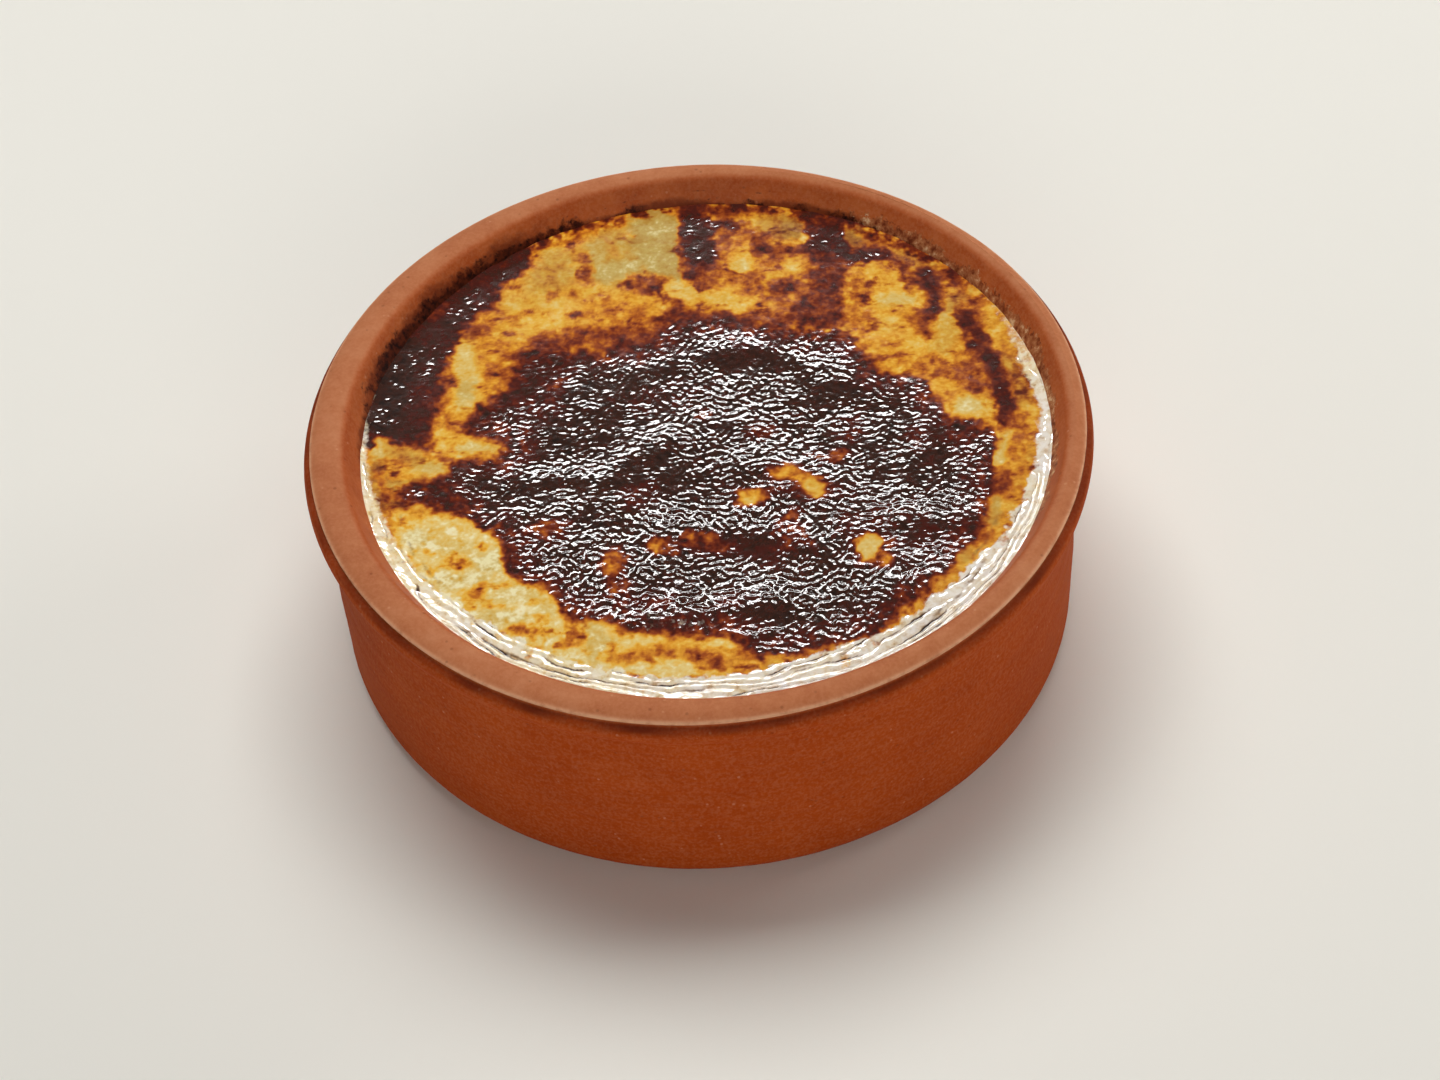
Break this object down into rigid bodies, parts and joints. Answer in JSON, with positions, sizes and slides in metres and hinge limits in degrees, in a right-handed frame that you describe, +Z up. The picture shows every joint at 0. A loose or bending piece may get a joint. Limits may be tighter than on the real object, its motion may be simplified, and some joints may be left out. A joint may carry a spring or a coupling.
{
  "type": "baked rice pudding in a dish",
  "caption": "Baked rice pudding with a browned, scorched skin in a round shallow earthenware dish with a proud lip, free space left above the skin.",
  "frame": {"origin": "centre of the dish's flat underside", "axes": "+Z up along the axis that the dish was turned on, -Y towards the side seen in front; the dish is round, so X and Y are set only by the pattern of the browning and by the opening's small shift"},
  "size_m": [0.12, 0.12, 0.0395],
  "materials": {
    "terracotta": "satin",
    "browned_skin": "gloss"
  },
  "bodies": {
    "root": {"dish": "terracotta", "pudding": "browned_skin"}
  },
  "joints": []
}
